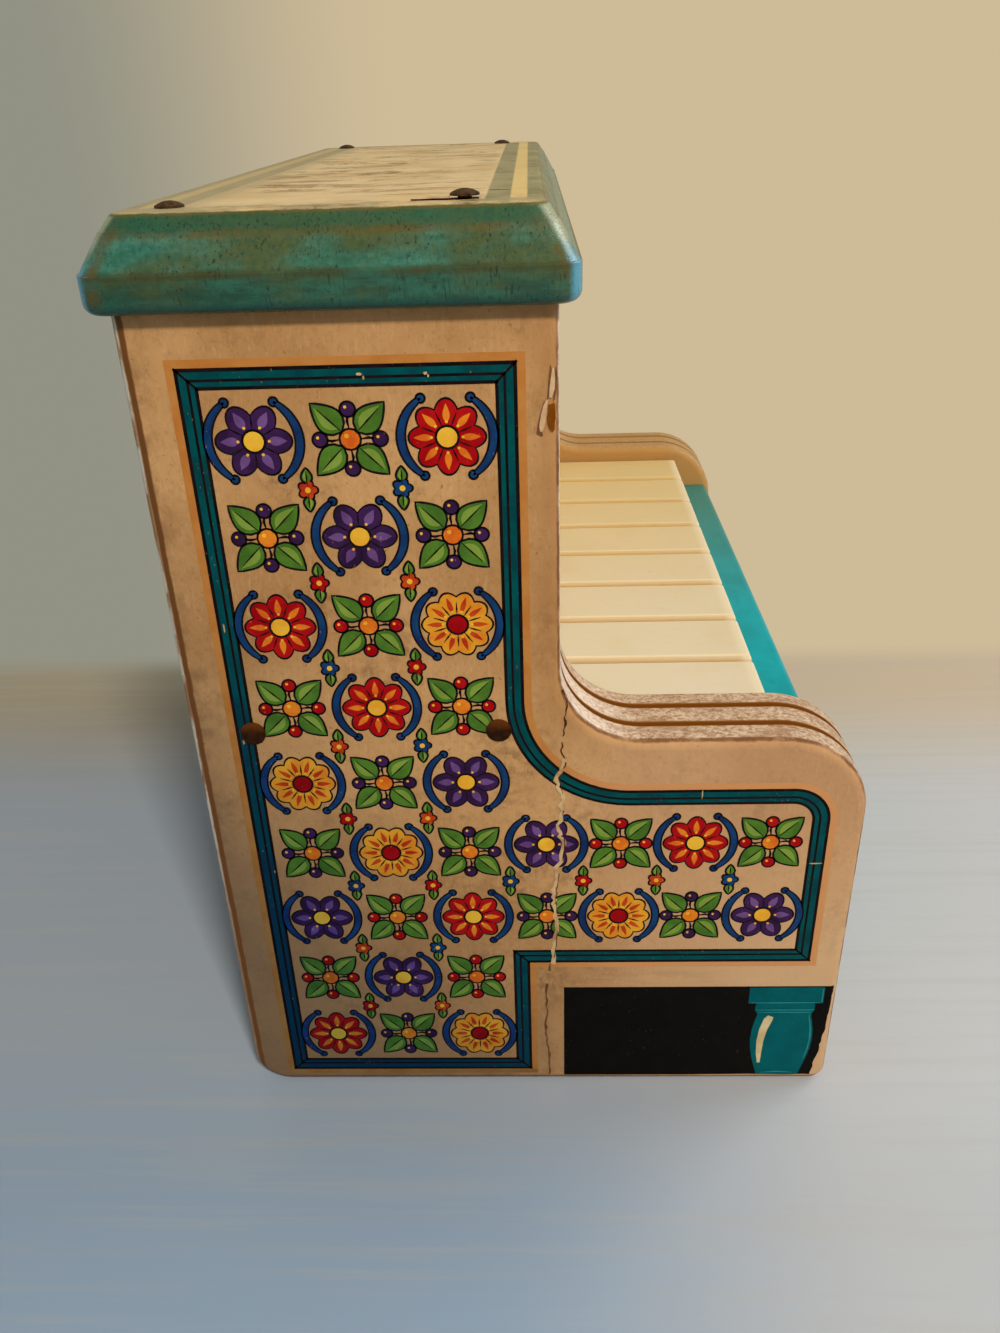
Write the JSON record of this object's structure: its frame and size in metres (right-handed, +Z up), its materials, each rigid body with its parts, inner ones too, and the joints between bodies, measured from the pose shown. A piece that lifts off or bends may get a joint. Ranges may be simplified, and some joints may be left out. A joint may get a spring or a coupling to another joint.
{
  "type": "toy piano",
  "caption": "Small upright toy piano with plywood sides, a moulded lid and wooden keys whose hammers strike tuned metal rods.",
  "frame": {"origin": "under the middle of the whole piano, on the surface that it stands on", "axes": "+X to the player's right, +Y to the back, +Z up; the player sits at -Y"},
  "size_m": [0.2094, 0.132, 0.1855],
  "materials": {
    "printed_plywood": "aged cream paint with a printed design, worn at the edges",
    "teal_paint": "old gloss teal paint, worn to bare wood on its edges",
    "black_paint": "satin black paint",
    "cream_paint": "aged cream paint",
    "hardboard": "bare pressed board",
    "bare_wood": "bare sawn wood",
    "felt": "matte felt",
    "rusted_steel": "rusted",
    "cast_metal": "rough cast",
    "steel": "bright drawn",
    "hammer_plastic": "moulded",
    "ivory_plastic": "yellowed satin"
  },
  "bodies": {
    "cabinet": {"back_nails": "rusted_steel", "back_panel": "hardboard", "back_rail": "bare_wood", "balance_rail": "bare_wood", "base_board": "bare_wood", "front_panel": "cream_paint", "front_rail": "bare_wood", "hammer_rod": "steel", "hammer_spacers": "hammer_plastic", "key_bed": "bare_wood", "key_guide_pins": "steel", "key_pivot_rod": "steel", "key_rest_felt": "felt", "key_rest_rail": "bare_wood", "key_slip": "teal_paint", "key_stop_felt": "felt", "left_side_panel": "printed_plywood", "lid": "teal_paint", "lid_nails": "rusted_steel", "pivot_plates": "steel", "right_side_panel": "printed_plywood", "side_nails": "rusted_steel", "toe_board": "black_paint", "tone_block": "cast_metal", "tone_block_screws": "steel", "tone_rod_1": "steel", "tone_rod_2": "steel", "tone_rod_3": "steel", "tone_rod_4": "steel", "tone_rod_5": "steel", "tone_rod_6": "steel", "tone_rod_7": "steel", "tone_rod_8": "steel"},
    "key_1": {"key_lever_1": "bare_wood", "key_cap_1": "ivory_plastic"},
    "hammer_1": {"hammer_1": "hammer_plastic"},
    "key_2": {"key_lever_2": "bare_wood", "key_cap_2": "ivory_plastic"},
    "hammer_2": {"hammer_2": "hammer_plastic"},
    "key_3": {"key_lever_3": "bare_wood", "key_cap_3": "ivory_plastic"},
    "hammer_3": {"hammer_3": "hammer_plastic"},
    "key_4": {"key_lever_4": "bare_wood", "key_cap_4": "ivory_plastic"},
    "hammer_4": {"hammer_4": "hammer_plastic"},
    "key_5": {"key_lever_5": "bare_wood", "key_cap_5": "ivory_plastic"},
    "hammer_5": {"hammer_5": "hammer_plastic"},
    "key_6": {"key_lever_6": "bare_wood", "key_cap_6": "ivory_plastic"},
    "hammer_6": {"hammer_6": "hammer_plastic"},
    "key_7": {"key_lever_7": "bare_wood", "key_cap_7": "ivory_plastic"},
    "hammer_7": {"hammer_7": "hammer_plastic"},
    "key_8": {"key_lever_8": "bare_wood", "key_cap_8": "ivory_plastic"},
    "hammer_8": {"hammer_8": "hammer_plastic"}
  },
  "joints": [
    {"name": "key_1_dip", "type": "hinge", "parent": "cabinet", "child": "key_1", "pos_m": [-0.07175, -0.0175, 0.0794], "axis": [1, 0, 0], "range_deg": [0, 8.6]},
    {"name": "hammer_1_swing", "type": "hinge", "parent": "cabinet", "child": "hammer_1", "pos_m": [-0.07175, 0.03763, 0.09025], "axis": [1, 0, 0], "range_deg": [-29.3, 0]},
    {"name": "key_2_dip", "type": "hinge", "parent": "cabinet", "child": "key_2", "pos_m": [-0.05125, -0.0175, 0.0794], "axis": [1, 0, 0], "range_deg": [0, 8.6]},
    {"name": "hammer_2_swing", "type": "hinge", "parent": "cabinet", "child": "hammer_2", "pos_m": [-0.05125, 0.03763, 0.09025], "axis": [1, 0, 0], "range_deg": [-29.3, 0]},
    {"name": "key_3_dip", "type": "hinge", "parent": "cabinet", "child": "key_3", "pos_m": [-0.03075, -0.0175, 0.0794], "axis": [1, 0, 0], "range_deg": [0, 8.6]},
    {"name": "hammer_3_swing", "type": "hinge", "parent": "cabinet", "child": "hammer_3", "pos_m": [-0.03075, 0.03763, 0.09025], "axis": [1, 0, 0], "range_deg": [-29.3, 0]},
    {"name": "key_4_dip", "type": "hinge", "parent": "cabinet", "child": "key_4", "pos_m": [-0.01025, -0.0175, 0.0794], "axis": [1, 0, 0], "range_deg": [0, 8.6]},
    {"name": "hammer_4_swing", "type": "hinge", "parent": "cabinet", "child": "hammer_4", "pos_m": [-0.01025, 0.03763, 0.09025], "axis": [1, 0, 0], "range_deg": [-29.3, 0]},
    {"name": "key_5_dip", "type": "hinge", "parent": "cabinet", "child": "key_5", "pos_m": [0.01025, -0.0175, 0.0794], "axis": [1, 0, 0], "range_deg": [0, 8.6]},
    {"name": "hammer_5_swing", "type": "hinge", "parent": "cabinet", "child": "hammer_5", "pos_m": [0.01025, 0.03763, 0.09025], "axis": [1, 0, 0], "range_deg": [-29.3, 0]},
    {"name": "key_6_dip", "type": "hinge", "parent": "cabinet", "child": "key_6", "pos_m": [0.03075, -0.0175, 0.0794], "axis": [1, 0, 0], "range_deg": [0, 8.6]},
    {"name": "hammer_6_swing", "type": "hinge", "parent": "cabinet", "child": "hammer_6", "pos_m": [0.03075, 0.03763, 0.09025], "axis": [1, 0, 0], "range_deg": [-29.3, 0]},
    {"name": "key_7_dip", "type": "hinge", "parent": "cabinet", "child": "key_7", "pos_m": [0.05125, -0.0175, 0.0794], "axis": [1, 0, 0], "range_deg": [0, 8.6]},
    {"name": "hammer_7_swing", "type": "hinge", "parent": "cabinet", "child": "hammer_7", "pos_m": [0.05125, 0.03763, 0.09025], "axis": [1, 0, 0], "range_deg": [-29.3, 0]},
    {"name": "key_8_dip", "type": "hinge", "parent": "cabinet", "child": "key_8", "pos_m": [0.07175, -0.0175, 0.0794], "axis": [1, 0, 0], "range_deg": [0, 8.6]},
    {"name": "hammer_8_swing", "type": "hinge", "parent": "cabinet", "child": "hammer_8", "pos_m": [0.07175, 0.03763, 0.09025], "axis": [1, 0, 0], "range_deg": [-29.3, 0]}
  ],
  "couplings": [
    {"joint": "hammer_1_swing", "follows": "key_1_dip", "ratio": -3.4},
    {"joint": "hammer_2_swing", "follows": "key_2_dip", "ratio": -3.4},
    {"joint": "hammer_3_swing", "follows": "key_3_dip", "ratio": -3.4},
    {"joint": "hammer_4_swing", "follows": "key_4_dip", "ratio": -3.4},
    {"joint": "hammer_5_swing", "follows": "key_5_dip", "ratio": -3.4},
    {"joint": "hammer_6_swing", "follows": "key_6_dip", "ratio": -3.4},
    {"joint": "hammer_7_swing", "follows": "key_7_dip", "ratio": -3.4},
    {"joint": "hammer_8_swing", "follows": "key_8_dip", "ratio": -3.4}
  ]
}
